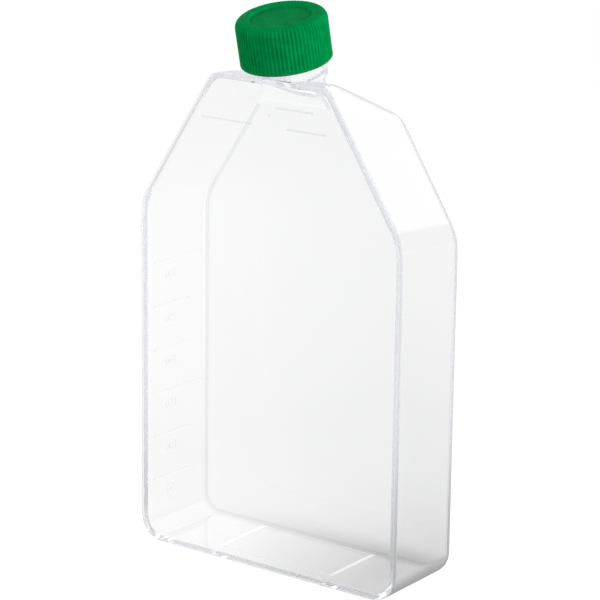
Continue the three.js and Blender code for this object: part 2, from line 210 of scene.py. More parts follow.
class StageSettings(bpy.types.PropertyGroup):
    """Floor, lights and camera. Levels with no colour are shares of white."""

    camera_place: FloatVectorProperty(
        name="Camera place", description="Where the camera stands",
        default=(0.53253, -0.72266, 0.33692), subtype="XYZ", unit="LENGTH")
    camera_turn: FloatVectorProperty(
        name="Camera turn", description="The camera's rotation", subtype="EULER", unit="ROTATION",
        default=[math.radians(angle) for angle in (74.941, -0.713, 36.529)])
    lens: level_of("Lens", "Focal length in millimetres on a 36 mm sensor", 158.57, 400)
    overhead: level_of("Overhead", "The room overhead in clear surfaces", 1.3)
    low_right: level_of("Low right", "The room low at the right in clear surfaces", 0.77)
    room_light: level_of("Room light", "Light from all round", 0.7)
    white_behind: level_of("White behind", "The sweep behind the flask", 1.09)
    shade_beside: level_of("Shade beside", "Depth of the shade at its right", 0.58)
    shade_under: level_of("Shade under", "Depth of the shade under its right end", 0.39)
    grey_before: colour_of("Grey before", "The sweep before the flask", (0.92, 0.93, 0.95))
    grey_beside: colour_of("Grey beside", "The sweep at both sides", (0.6, 0.615, 0.64))


# ---- shapes ----

CORNER_STEPS = 10
FILLET_STEPS = 6
ROUND_SEGMENTS = 128
THREAD_SEGMENTS = 64
THREAD_FADE_STEPS = 10
NUMBER_RESOLUTION = 3
# A number reaches into the wall by the wall's thickness over this
NUMBER_SINK = 4
# How far a cut or a joined shape reaches past the face it meets
OVERRUN = 1 * MM
SAME_POINT = 0.001 * MM
DOT_SEGMENTS = 20
LUG_BELOW_CAP = 0.3 * MM


def add_object(name, data):
    made = bpy.data.objects.new(name, data)
    bpy.context.scene.collection.objects.link(made)
    return made


def skin(name, rings):
    """A closed solid over rings. A ring of one point is a pole, other end rings get a flat face."""
    shape = bmesh.new()
    loops = [[shape.verts.new(point) for point in ring] for ring in rings]
    for near, far in zip(loops, loops[1:]):
        count = max(len(near), len(far))
        near, far = (loop if len(loop) > 1 else loop * count for loop in (near, far))
        for i in range(count):
            j = (i + 1) % count
            shape.faces.new(list(dict.fromkeys((near[i], near[j], far[j], far[i]))))
    for loop in (loops[0], loops[-1]):
        if len(loop) > 2:
            shape.faces.new(loop)
    bmesh.ops.recalc_face_normals(shape, faces=shape.faces)
    mesh = bpy.data.meshes.new(name)
    shape.to_mesh(mesh)
    shape.free()
    return add_object(name, mesh)


def circle(radius, count):
    angles = [2 * math.pi * i / count for i in range(count)]
    return [(radius * math.cos(angle), radius * math.sin(angle)) for angle in angles]


def turned(name, profile, matrix, segments=ROUND_SEGMENTS):
    """A solid of revolution about +Z from (radius, height) pairs that run from axis to axis."""
    return skin(name, [
        [matrix @ Vector((x, y, height)) for x, y in circle(radius, segments if radius else 1)]
        for radius, height in profile])


def arc(radius, height, size, start, end, steps=FILLET_STEPS):
    """(radius, height) pairs along a round between two angles in degrees."""
    angles = [math.radians(start + (end - start) * i / steps) for i in range(steps + 1)]
    return [(radius + size * math.cos(a), height + size * math.sin(a)) for a in angles]


def quarter(size):
    """(distance from the end, distance inwards) pairs along a quarter round."""
    angles = [math.pi / 2 * i / FILLET_STEPS for i in range(FILLET_STEPS + 1)]
    return [(size * (1 - math.sin(a)), size * (1 - math.cos(a))) for a in angles]


def block(name, low, high):
    (left, near, bottom), (right, far, top) = low, high
    return skin(name, [[Vector((left, near, z)), Vector((right, near, z)),
                        Vector((right, far, z)), Vector((left, far, z))] for z in (bottom, top)])


def final_mesh(piece):
    """The mesh of a piece with its modifiers, or of a text, as plain data."""
    depsgraph = bpy.context.evaluated_depsgraph_get()
    return bpy.data.meshes.new_from_object(piece.evaluated_get(depsgraph), depsgraph=depsgraph)


def flattened(piece):
    """Turns a piece with modifiers into a plain mesh."""
    mesh = final_mesh(piece)
    piece.modifiers.clear()
    piece.data = mesh
    return mesh


def merged(mesh, finish):
    """Merges points that fall together, and then runs finish on the open mesh."""
    shape = bmesh.new()
    shape.from_mesh(mesh)
    bmesh.ops.remove_doubles(shape, verts=shape.verts, dist=SAME_POINT)
    finish(shape)
    shape.to_mesh(mesh)
    shape.free()


def combined(base, steps):
    """Joins and cuts the base in order, and cleans the mesh after each step."""
    for operation, other in steps:
        modifier = base.modifiers.new(other.name, "BOOLEAN")
        modifier.operation = operation
        modifier.solver = "EXACT"
        modifier.object = other
        mesh = flattened(base)
        bpy.data.objects.remove(other)
        merged(mesh, lambda shape: bmesh.ops.dissolve_degenerate(
            shape, edges=shape.edges, dist=SAME_POINT))


SHARP_ANGLE = math.radians(32)


def shade(piece):
    """Smooth rounds, sharp edges and flat panels."""
    mesh = piece.data
    mesh.shade_smooth()
    mesh.set_sharp_from_angle(angle=SHARP_ANGLE)
    weighted = piece.modifiers.new("weighted", "WEIGHTED_NORMAL")
    weighted.keep_sharp = True
    flattened(piece)


# ---- node trees ----

def new_node(tree, kind, sockets=None, **settings):
    """Adds a node with its settings, and fills its sockets by name or place."""
    made = tree.nodes.new(kind)
    for key, value in settings.items():
        setattr(made, key, value)
    for key, value in (sockets or {}).items():
        wire(tree, value, made.inputs[key])
    return made


def wire(tree, source, target):
    """Joins two sockets, or sets the target where the source is a plain value."""
    if isinstance(source, bpy.types.NodeSocket):
        tree.links.new(source, target)
    else:
        target.default_value = source


def calc(tree, operation, *values, clamp=False):
    """A Math node over sockets and plain values, as its output socket."""
    made = new_node(tree, "ShaderNodeMath", operation=operation, use_clamp=clamp)
    for value, socket in zip(values, made.inputs):
        wire(tree, value, socket)
    return made.outputs[0]


def remap(tree, value, low, high, to_low=0.0, to_high=1.0, kind="LINEAR"):
    """A Map Range node, as its output socket."""
    ends = dict(enumerate((value, low, high, to_low, to_high)))
    return new_node(tree, "ShaderNodeMapRange", ends, interpolation_type=kind).outputs[0]


def blend(tree, factor, first, second, kind="RGBA"):
    """A Mix node, as its output socket."""
    sockets = {"Factor": factor, "A": first, "B": second}
    return new_node(tree, "ShaderNodeMix", sockets, data_type=kind).outputs["Result"]


def mixed(tree, factor, first, second):
    """A Mix Shader node, as its output socket."""
    return new_node(tree, "ShaderNodeMixShader", {0: factor, 1: first, 2: second}).outputs[0]


def apart(tree, vector):
    """The X, Y and Z sockets of a vector."""
    return new_node(tree, "ShaderNodeSeparateXYZ", {0: vector}).outputs


def together(tree, *values):
    """A vector socket from X, Y and Z."""
    return new_node(tree, "ShaderNodeCombineXYZ", dict(enumerate(values))).outputs[0]


def object_place(tree):
    return new_node(tree, "ShaderNodeTexCoord").outputs["Object"]


def show(tree, shader, kind="ShaderNodeOutputMaterial"):
    new_node(tree, kind, {"Surface": shader})


def node_group(kind, name, inputs, outputs):
    """A node group with sockets named in (kind, labels) pairs, as (tree, inputs, outputs)."""
    tree = bpy.data.node_groups.new(name, kind + "NodeTree")
    for side, rows in (("INPUT", inputs), ("OUTPUT", outputs)):
        for socket, labels in rows:
            for label in labels:
                tree.interface.new_socket(label, in_out=side, socket_type="NodeSocket" + socket)
    return tree, tree.nodes.new("NodeGroupInput").outputs, tree.nodes.new("NodeGroupOutput").inputs


def shape_tree(name, whole_numbers, numbers):
    """A Geometry Nodes tree with a geometry, numbers and a material as its inputs."""
    return node_group("Geometry", name, (
        ("Geometry", ["Geometry"]), ("Int", whole_numbers), ("Float", numbers),
        ("Material", ["Material"])), [("Geometry", ["Geometry"])])


def finish_tree(tree, geometry, material, result):
    """Ends a tree in Realize Instances and Set Material."""
    real = new_node(tree, "GeometryNodeRealizeInstances", {"Geometry": geometry})
    paint = new_node(tree, "GeometryNodeSetMaterial", {
        "Geometry": real.outputs[0], "Material": material})
    wire(tree, paint.outputs[0], result["Geometry"])


def grow(piece, tree, values):
    """Runs a tree on a piece and keeps the result as its plain mesh."""
    modifier = piece.modifiers.new(tree.name, "NODES")
    modifier.node_group = tree
    for item in tree.interface.items_tree:
        if item.in_out == "INPUT" and item.name in values:
            modifier[item.identifier] = values[item.name]
    flattened(piece)


# ---- body outline ----

def round_corners(corners):
    """Replaces each corner of a counter-clockwise polygon by an arc."""
    points = []
    for i, (at, radius) in enumerate(corners):
        before = corners[i - 1][0]
        after = corners[(i + 1) % len(corners)][0]
        to_before = (before - at).normalized()
        to_after = (after - at).normalized()
        half_angle = to_before.angle(to_after) / 2
        centre = at + (to_before + to_after).normalized() * (radius / math.sin(half_angle))
        spoke = at + to_before * (radius / math.tan(half_angle)) - centre
        sweep = math.pi - 2 * half_angle
        for step in range(CORNER_STEPS + 1):
            turn = Matrix.Rotation(sweep * step / CORNER_STEPS, 2)
            points.append(turn @ spoke + centre)
    return points


def end_wall_height(body, y):
    """Height of the outside of the end wall at y behind the cover's face."""
    slope = body.end_drop / (body.depth - body.ramp_start)
    past = y - body.ramp_start
    reach = body.crease_reach
    if past <= -reach:
        return body.height
    if past >= reach:
        return body.height - slope * past
    return body.height - slope * (past + reach) ** 2 / (4 * reach)


def body_ring(body, y, inset, base_inset=None):
    """The ring of the body at y behind the cover's face, moved inwards by inset."""
    base = inset if base_inset is None else base_inset
    share = y / body.depth
    half = body.width / 2
    slope = body.end_drop / (body.depth - body.ramp_start)
    side = half - body.side_draft * share - inset
    top = end_wall_height(body, y) - inset * (math.hypot(1, slope) if y > body.ramp_start else 1)
    normal = Vector((body.height - body.shoulder_height, half - body.top_width / 2)).normalized()
    reach = normal.dot(Vector((half, body.shoulder_height))) - body.slope_draft * share - inset
    shoulder = Vector((side, (reach - normal.x * side) / normal.y))
    crown = Vector(((reach - normal.y * top) / normal.x, top))

    def inner(radius):
        return max(radius - inset, body.inner_edge)

    ring = round_corners([
        (Vector((-side, base)), inner(body.base_corner)),
        (Vector((side, base)), inner(body.base_corner)),
        (shoulder, inner(body.shoulder_round)),
        (crown, inner(body.top_corner)),
        (Vector((-crown.x, crown.y)), inner(body.top_corner)),
        (Vector((-shoulder.x, shoulder.y)), inner(body.shoulder_round)),
    ])
    return [Vector((point.x, y + FRONT, point.y)) for point in ring]


def tub(body, name, front, back, inset, edge):
    """A tub from the seam to the back with a rounded back edge, moved inwards by inset."""
    reach = body.crease_reach
    crease = [body.ramp_start + reach * (2 * i / FILLET_STEPS - 1) for i in range(FILLET_STEPS + 1)]
    rings = [body_ring(body, y, body.lip + inset, inset) for y in (front, *crease)]
    rings += [body_ring(body, back - short, body.lip + (inset + inwards), inset + inwards)
              for short, inwards in quarter(edge)]
    return skin(name, rings)


# ---- neck ----

def neck_matrix(body, neck):
    place = Matrix.Translation((0, FRONT + neck.from_cover, body.height + neck.above_cover))
    return place @ Matrix.Rotation(neck.cant, 4, "X")


def neck_tube(body, neck):
    ring_bottom = neck.ring_top - neck.ring_height
    ring_edge = neck.ring_radius - neck.ring_round
    rim = neck.rim_round
    return turned("neck_tube", [
        (0, -neck.root),
        (neck.radius, -neck.root),
        (neck.radius, ring_bottom),
        *arc(ring_edge, ring_bottom + neck.ring_round, neck.ring_round, -90, 0),
        *arc(ring_edge, neck.ring_top - neck.ring_round, neck.ring_round, 0, 90),
        (neck.radius, neck.ring_top),
        *arc(neck.radius - rim, neck.top - rim, rim, 0, 90),
        (0, neck.top),
    ], neck_matrix(body, neck))


def neck_bore(body, neck):
    bore, rim = neck.radius - neck.wall, neck.rim_round
    low, high = -neck.root - OVERRUN, neck.top + OVERRUN
    return turned("neck_bore", [
        (0, low), (bore, low), (bore, neck.top - rim), (bore + rim + OVERRUN, high), (0, high),
    ], neck_matrix(body, neck))


def thread_ridge(name, neck, foot, crest, start, matrix):
    """A helical ridge between two radii that fades at both ends."""
    steps = round(neck.thread_turns * THREAD_SEGMENTS)
    half_foot, half_crest = neck.thread_root / 2, neck.thread_crest / 2
    rings = []
    for step in range(steps + 1):
        turn = neck.thread_turns * step / steps
        angle = 2 * math.pi * turn
        height = start + neck.thread_pitch * turn
        fade = min(step + 1, steps - step + 1, THREAD_FADE_STEPS) / THREAD_FADE_STEPS
        top = foot + (crest - foot) * math.sin(math.pi / 2 * fade)
        section = (foot, -half_foot), (foot, half_foot), (top, half_crest), (top, -half_crest)
        rings.append([
            matrix @ Vector((radius * math.cos(angle), radius * math.sin(angle), height + lift))
            for radius, lift in section])
    return skin(name, rings)


def neck_thread(body, neck):
    start = (neck.top - neck.thread_below_rim - neck.thread_root / 2
             - neck.thread_pitch * neck.thread_turns)
    return thread_ridge("neck_thread", neck, neck.radius - OVERRUN / 2,
                        neck.radius + neck.thread_depth, start, neck_matrix(body, neck))


def neck_lug(body, neck):
    """A thin upright rib low on the neck, from the ring to just below the cap."""
    reach = neck.radius + neck.lug_proud
    half = neck.lug_width / 2
    lug = block("neck_lug", (-half, -reach, neck.ring_top - neck.ring_height / 2),
                (half, neck.wall - reach, -LUG_BELOW_CAP))
    lug.data.transform(neck_matrix(body, neck) @ Matrix.Rotation(neck.lug_bearing, 4, "Z"))
    return lug


# ---- marks ----

def left_wall(body):
    """Frame of the left wall: +X along the wall towards the back, +Y up, +Z outwards."""
    lean = math.atan(body.side_draft / body.depth)
    corner = Matrix.Translation((-body.width / 2 + body.lip, FRONT, 0))
    axes = Matrix(((0, 0, -1, 0), (1, 0, 0, 0), (0, 1, 0, 0), (0, 0, 0, 1)))
    return corner @ Matrix.Rotation(-lean, 4, "Z") @ axes


def mark_tree():
    """Level bars in a column, every so many of them longer."""
    tree, value, result = shape_tree("scale_marks", ("Count", "Long every"), (
        "First", "Step", "Start", "Length", "Extra", "Line", "Thickness", "Proud"))
    index = new_node(tree, "GeometryNodeInputIndex").outputs[0]
    points = new_node(tree, "GeometryNodeMeshLine", {"Count": value["Count"]}, mode="OFFSET")
    turn = calc(tree, "MODULO", calc(tree, "ADD", index, 1.0), value["Long every"])
    is_long = calc(tree, "COMPARE", turn, 0.0, 0.5)
    reach = calc(tree, "MULTIPLY_ADD", is_long, value["Extra"], value["Length"])
    place = together(tree, calc(tree, "MULTIPLY_ADD", reach, 0.5, value["Start"]),
                     calc(tree, "MULTIPLY_ADD", index, value["Step"], value["First"]),
                     calc(tree, "MULTIPLY_ADD", value["Thickness"], -0.5, value["Proud"]))
    spread = new_node(tree, "GeometryNodeSetPosition", {
        "Geometry": points.outputs[0], "Position": place})
    bar = new_node(tree, "GeometryNodeMeshCube", {"Size": (1, 1, 1)})
    copies = new_node(tree, "GeometryNodeInstanceOnPoints", {
        "Points": spread.outputs[0], "Instance": bar.outputs["Mesh"],
        "Scale": together(tree, reach, value["Line"], value["Thickness"])})
    finish_tree(tree, copies.outputs[0], value["Material"], result)
    return tree


def scale_marks(body, marks):
    piece = add_object("scale_marks", bpy.data.meshes.new("scale_marks"))
    grow(piece, mark_tree(), {
        "Count": marks.count, "First": marks.first, "Step": marks.step, "Start": marks.start,
        "Length": marks.reach, "Extra": marks.long_extra, "Long every": marks.long_every,
        "Line": marks.line, "Thickness": body.wall / 2 + marks.proud, "Proud": marks.proud,
        "Material": material_named(CLEAR_FINISHES[CLEAR])})
    piece.data.transform(left_wall(body))
    return piece


def number(body, marks, index):
    """One raised number beside the scale."""
    depth = body.wall / NUMBER_SINK + marks.number_proud
    text = bpy.data.curves.new("number", "FONT")
    text.body = str(marks.unit * (index + 1))
    text.size = marks.number_size
    text.align_x = text.align_y = "CENTER"
    text.extrude = depth / 2
    text.resolution_u = NUMBER_RESOLUTION
    writing = add_object("writing", text)
    mesh = final_mesh(writing)
    bpy.data.objects.remove(writing)
    merged(mesh, lambda shape: bmesh.ops.recalc_face_normals(shape, faces=shape.faces))
    readable = Matrix.Diagonal((-1, 1, -1, 1))
    height = marks.first + index * marks.step - marks.number_below
    place = Matrix.Translation((marks.number_from_cover, height, marks.number_proud - depth / 2))
    mesh.transform(left_wall(body) @ place @ readable)
    return add_object(f"number_{index + 1}", mesh)


# In millimetres: left end, right end and depth below the top of each bar on the cover plate
COVER_BARS = ((4.1, 18.8, 9.5), (8.9, 24.5, 16.3), (-27.9, -7.0, 16.2))
# In millimetres: x and depth below the top, of the ends of the short slanting tick and of the dot
SLOPE_TICK = ((23.4, 4.1), (26.3, 7.1))
PLATE_DOT = (1.0, 12.3)


def on_plate(body, marks, outline):
    """Raises an outline of (x, height) points on the plate."""
    depths = (FRONT + body.cover / 2, FRONT - marks.bar_proud)
    return skin("plate_mark", [[Vector((x, y, z)) for x, z in outline] for y in depths])


def plate_dot(body, marks, x, height):
    ring = circle(marks.bar_dot, DOT_SEGMENTS)
    return on_plate(body, marks, [(x + across, height + up) for across, up in ring])


def plate_bar(body, marks, start, end, width):
    """A straight raised bar on the plate between two (x, height) points."""
    start, end = Vector(start), Vector(end)
    along = (end - start).normalized()
    across = Vector((-along.y, along.x)) * width / 2
    return on_plate(body, marks, [start - across, end - across, end + across, start + across])


def cover_marks(body, marks):
    def place(x, below):
        return x * MM, body.height - below * MM

    made = []
    for left, right, below in COVER_BARS:
        ends = place(left, below), place(right, below)
        made.append(plate_bar(body, marks, *ends, marks.bar_line))
        made += [plate_dot(body, marks, *end) for end in ends]
    made.append(plate_bar(body, marks, *(place(*end) for end in SLOPE_TICK), 2 * marks.bar_line))
    made.append(plate_dot(body, marks, *place(*PLATE_DOT)))
    return made


# ---- pieces ----

# The bar finish paints shade on the writing bars and the round inner edge, the foot finish paints a
# glow under the base
CLEAR_FINISHES = ("polystyrene_clear", "weld_clear", "polystyrene_bar", "polystyrene_foot")
CLEAR, WELD, BAR, FOOT = range(4)
# How far the faces of the round inner edge look to the front
EDGE_TURN = (0.1, 0.98)
# How far the room cut for the cover plate reaches above it
ROOM_ABOVE = 0.3 * MM


def grooves(body):
    """The rectangle under the base: two broad ends and two fine lines."""
    left, front = -body.groove_width / 2, FRONT + body.groove_start
    right, back = -left, front + body.groove_depth
    end, side, cut = body.groove_line, body.groove_fine, body.groove_cut
    for x in (left, right - end):
        yield block("groove_end", (x, front, -OVERRUN), (x + end, back, cut))
    for y in (front, back - side):
        yield block("groove_side", (left + end / 2, y, -OVERRUN),
                    (right - end / 2, y + side, cut / 2))


def finish_clear(piece, body):
    """Gives the weld its own finish, the bars and the round inner edge a painted shade, and the
    foot a painted glow.
    """
    mesh = piece.data
    mesh.materials.clear()
    for name in CLEAR_FINISHES:
        mesh.materials.append(material_named(name))
    seam = FRONT + body.cover
    inner = [(p.x, p.z) for p in body_ring(body, body.cover, body.lip + body.wall, body.wall)]
    for face in mesh.polygons:
        places = [mesh.vertices[i].co for i in face.vertices]
        if min(place.y for place in places) < FRONT - SAME_POINT or is_inner_edge(face, body):
            # The writing bars and the round inner edge get painted shade
            face.material_index = BAR
        elif all(abs(place.z - body.groove_cut) < SAME_POINT for place in places):
            # The groove ceilings get the painted glow of the foot
            face.material_index = FOOT
        elif all(abs(place.y - seam) < SAME_POINT for place in places):
            face.material_index = WELD if is_rim(face, inner) else CLEAR


def is_inner_edge(face, body):
    """True in the round edge between the walls and the growth surface, but not under the neck."""
    floor = FRONT + body.depth - body.wall
    if face.center.z > body.height / 2 and abs(face.normal.x) < abs(face.normal.z):
        return False
    in_depth = floor - body.inner_edge < face.center.y < floor
    return in_depth and EDGE_TURN[0] < -face.normal.y < EDGE_TURN[1]


def is_rim(face, outline):
    """True if a face's middle lies outside an outline of (x, height) points."""
    x, _, height = face.center
    inside = False
    for (near_x, near), (far_x, far) in zip(outline, outline[-1:] + outline[:-1]):
        if (near > height) != (far > height):
            inside ^= x < near_x + (height - near) * (far_x - near_x) / (far - near)
    return not inside


def build_tray(body, neck, marks):
    shell = tub(body, "flask_tray_fine", body.cover, body.depth, 0, body.back_edge)
    hollow = tub(body, "hollow", body.cover - OVERRUN, body.depth - body.wall, body.wall,
                 body.inner_edge)
    room = block("cover_room", (-body.width, FRONT - body.depth, 0),
                 (body.width, FRONT + body.cover, body.height + ROOM_ABOVE))
    numbers = [number(body, marks, i) for i in range(marks.count)]
    combined(shell, [
        ("UNION", neck_tube(body, neck)),
        *(("DIFFERENCE", cut) for cut in (room, hollow, neck_bore(body, neck), *grooves(body))),
        *(("UNION", extra) for extra in (neck_thread(body, neck), neck_lug(body, neck),
                                         scale_marks(body, marks), *numbers)),
    ])
    return shell


def build_cover(body, marks):
    edge = [body_ring(body, *step) for step in reversed(quarter(body.cover_edge))]
    seam = [body_ring(body, body.cover, *insets)
            for insets in ((0,), (body.lip, 0), (body.lip + body.wall, body.wall))]
    plate = skin("cover_plate_fine", edge + seam)
    combined(plate, [("UNION", mark) for mark in cover_marks(body, marks)])
    return plate


# ---- cap ----

CAP_SEGMENTS_PER_RIB = 8
CAP_SIDE_STEPS = 10
CAP_SHOULDER_STEPS = 14
CAP_RIM_STEPS = 4
MOUTH_STEPS = 3
# Where a rib's flank starts and ends, as a share of the way to the next rib
RIB_FLANK = (0.1, 0.4)
# How far the ribs reach over the shoulder, as a share of its radius
RIB_REACH = 0.8


def cap_outside(cap):
    """The cap's outside between its ribs, as a plain solid in the neck's frame."""
    root = cap.radius - cap.rib_depth
    edge = cap.mouth_edge / 2
    side_low = cap.band + cap.rib_depth
    side_high = cap.height - cap.shoulder
    steps = [side_low + (side_high - side_low) * i / CAP_SIDE_STEPS for i in range(CAP_SIDE_STEPS)]
    fall = cap.rim_fall
    floor = cap.height - cap.recess_depth
    foot = cap.recess_radius - cap.recess_slope
    return turned("screw_cap_fine", [
        (0, 0),
        (cap.radius - edge, 0),
        *arc(cap.radius - edge, edge, edge, -90, 0, MOUTH_STEPS)[1:],
        (cap.radius, cap.band),
        (root + cap.rib_depth / 3, cap.band + cap.rib_depth / 3),
        *((root, height) for height in steps),
        *arc(root - cap.shoulder, side_high, cap.shoulder, 0, 90, CAP_SHOULDER_STEPS),
        *arc(cap.recess_radius + fall, cap.height - fall, fall, 90, 180, CAP_RIM_STEPS),
        (foot, floor + fall),
        (foot - fall / 3, floor + fall / 3),
        (foot - fall, floor),
        (0, floor),
    ], Matrix(), cap.ribs * CAP_SEGMENTS_PER_RIB)


def rib_tree():
    """Raises soft ribs round the side, which fade into the shoulder."""
    tree, value, result = shape_tree(
        "grip_ribs", ("Ribs",), ("Depth", "Least radius", "Low", "Full", "Fade", "End"))
    x, y, z = apart(tree, new_node(tree, "GeometryNodeInputPosition").outputs[0])
    turn = calc(tree, "DIVIDE", calc(tree, "ARCTAN2", y, x), 2 * math.pi)
    wave = calc(tree, "PINGPONG", calc(tree, "MULTIPLY", turn, value["Ribs"]), 0.5)
    rib = remap(tree, wave, *RIB_FLANK, 1.0, 0.0, "SMOOTHSTEP")
    rise = remap(tree, z, value["Low"], value["Full"])
    climb = remap(tree, z, value["Fade"], value["End"])
    fall = calc(tree, "SQRT", calc(tree, "SUBTRACT", 1.0, calc(tree, "MULTIPLY", climb, climb)))
    span = calc(tree, "MULTIPLY", rise, fall)
    wide = new_node(tree, "ShaderNodeVectorMath", {0: together(tree, x, y)}, operation="LENGTH")
    outside = calc(tree, "GREATER_THAN", wide.outputs["Value"], value["Least radius"])
    lift = calc(tree, "MULTIPLY", calc(tree, "MULTIPLY", rib, span),
                calc(tree, "MULTIPLY", outside, value["Depth"]))
    push = new_node(tree, "ShaderNodeVectorMath", operation="SCALE", sockets={
        0: new_node(tree, "GeometryNodeInputNormal").outputs[0], "Scale": lift})
    move = new_node(tree, "GeometryNodeSetPosition", {
        "Geometry": value["Geometry"], "Offset": push.outputs[0]})
    finish_tree(tree, move.outputs[0], value["Material"], result)
    return tree


def cap_hollow(cap):
    """The hollow for the neck, with the plug ring standing in it."""
    ceiling = cap.height - cap.recess_depth - cap.top
    end = ceiling - cap.plug_length
    plug, wall = cap.plug_radius, cap.plug_wall
    mouth = cap.bore + cap.mouth_edge
    return turned("cap_hollow", [
        (0, -OVERRUN), (mouth, -OVERRUN), (mouth, 0), (cap.bore, cap.mouth_edge),
        (cap.bore, ceiling), (plug, ceiling), (plug, end + wall), (plug - wall / 2, end),
        (plug - wall, end), (plug - wall, ceiling), (0, ceiling)], Matrix())


def build_cap(body, neck, cap):
    piece = cap_outside(cap)
    grow(piece, rib_tree(), {
        "Ribs": cap.ribs, "Depth": cap.rib_depth,
        "Least radius": cap.radius - cap.rib_depth - RIB_REACH * cap.shoulder,
        "Low": cap.band, "Full": cap.band + cap.rib_depth, "Fade": cap.height - cap.shoulder,
        "End": cap.height - cap.rib_end, "Material": material_named("polyethylene_green")})
    thread = thread_ridge("cap_thread", neck, cap.bore + OVERRUN / 2, cap.bore - cap.thread_depth,
                          cap.mouth_edge + neck.thread_root, Matrix())
    combined(piece, [("DIFFERENCE", cap_hollow(cap)), ("UNION", thread)])
    piece.data.transform(neck_matrix(body, neck))
    return piece


# ---- finishes ----

POLYSTYRENE_IOR = 1.57
# Tint of the clear plastic where its flow marks are strongest, as a share of its colour
FLOW_TINT = 0.99
# A faint painted glow in every clear wall, and its colour
WALL_GLOW = 0.0025
GLOW_COLOUR = (0.97, 0.985, 1, 1)
# What a clear wall lets through into a shadow
SHADOW_PASS = 0.9
# The painted glow fades towards the floor between these heights, and higher up at the right, as
# painted shade low on the flask
PAINTED_GLOW_FADE = (-0.02, 0.06)
PAINTED_GLOW_LEAN = -0.3
# From x to x across the flask the painted glow goes from level to level, as painted shade towards
# the right
PAINTED_GLOW_SIDES = (-0.05, 0.05, 1.06, 0.94)
# How far a clear face turns away where the painted shade of the grey glow on its rim starts and is
# full
RIM_TURN = (0.5, 0.8)
FLOW_RANGE = (0.3, 0.7)
GREEN_SPECULAR = 0.0015
GREEN_SPECULAR_TINT = (0.03, 0.92, 0.62, 1)
# Scuffs are lines seen only in patches, and both masks rise over a range of their noise
SCUFF_STRETCH = (1.0, 1.0, 14.0)
SCUFF_TURN = (0.5, 0.3, 0.9)
SCUFF_LINES = (0.62, 0.7)
SCUFF_PATCHES = (0.45, 0.65)
PATCH_SCALE = 0.3


def grey(level):
    return level, level, level, 1


def solid(colour):
    return (*colour, 1)


def noise(tree, place, scale, detail=2.0, roughness=0.5):
    sockets = {"Vector": place, "Scale": scale, "Detail": detail, "Roughness": roughness}
    return new_node(tree, "ShaderNodeTexNoise", sockets).outputs[0]


def moulding_group():
    """Slow flow marks of a moulded surface and its fine tool texture."""
    tree, value, result = node_group("Shader", "moulded_surface", [("Float", (
        "Flow scale", "Flow height", "Grain scale", "Grain height", "Roughness",
        "Roughness spread"))], [("Float", ["Flow", "Roughness"]), ("Vector", ["Normal"])])
    place = object_place(tree)
    flow = noise(tree, place, value["Flow scale"], detail=1.0)
    grain = noise(tree, place, value["Grain scale"], detail=3.0, roughness=0.6)
    spread = calc(tree, "MULTIPLY", calc(tree, "SUBTRACT", grain, 0.5), value["Roughness spread"])
    height = calc(tree, "MULTIPLY_ADD", flow, value["Flow height"],
                  calc(tree, "MULTIPLY", grain, value["Grain height"]))
    bump = new_node(tree, "ShaderNodeBump", {"Strength": 1.0, "Distance": MM, "Height": height})
    wire(tree, flow, result["Flow"])
    wire(tree, calc(tree, "ADD", value["Roughness"], spread, clamp=True), result["Roughness"])
    wire(tree, bump.outputs[0], result["Normal"])
    return tree


def handling_group():
    """Sparse hairline scuffs from handling, as a mask."""
    tree, value, result = node_group(
        "Shader", "handling_scuffs", [("Float", ["Scale", "Amount"])], [("Float", ["Mask"])])
    place = object_place(tree)
    stretch = new_node(tree, "ShaderNodeMapping", {
        "Vector": place, "Rotation": SCUFF_TURN, "Scale": SCUFF_STRETCH})
    lines = noise(tree, stretch.outputs[0], value["Scale"], detail=3.0, roughness=0.7)
    patches = noise(tree, place, calc(tree, "MULTIPLY", value["Scale"], PATCH_SCALE))
    worn = calc(tree, "MULTIPLY", remap(tree, lines, *SCUFF_LINES),
                remap(tree, patches, *SCUFF_PATCHES))
    wire(tree, calc(tree, "MULTIPLY", worn, value["Amount"]), result["Mask"])
    return tree


def new_material(name):
    material = bpy.data.materials.new(name)
    material.use_nodes = True
    material.node_tree.nodes.clear()
    return material


def add_group(tree, name, build, **values):
    """Places an effect that is built on first use, with its own values, as its output sockets."""
    made = new_node(tree, "ShaderNodeGroup", node_tree=bpy.data.node_groups.get(name) or build())
    for label, value in values.items():
        made.inputs[label.replace("_", " ").capitalize()].default_value = value
    return made.outputs


def moulded(tree, tint, moulding, scuffs, sockets):
    """A moulded plastic with its scuffs; tint makes its colour from the flow marks."""
    surface = add_group(tree, "moulded_surface", moulding_group, **moulding)
    worn = add_group(tree, "handling_scuffs", handling_group, **scuffs)
    return new_node(tree, "ShaderNodeBsdfPrincipled", {
        "Base Color": tint(surface["Flow"]), "Normal": surface["Normal"],
        "Roughness": calc(tree, "ADD", surface["Roughness"], worn["Mask"]), **sockets}).outputs[0]


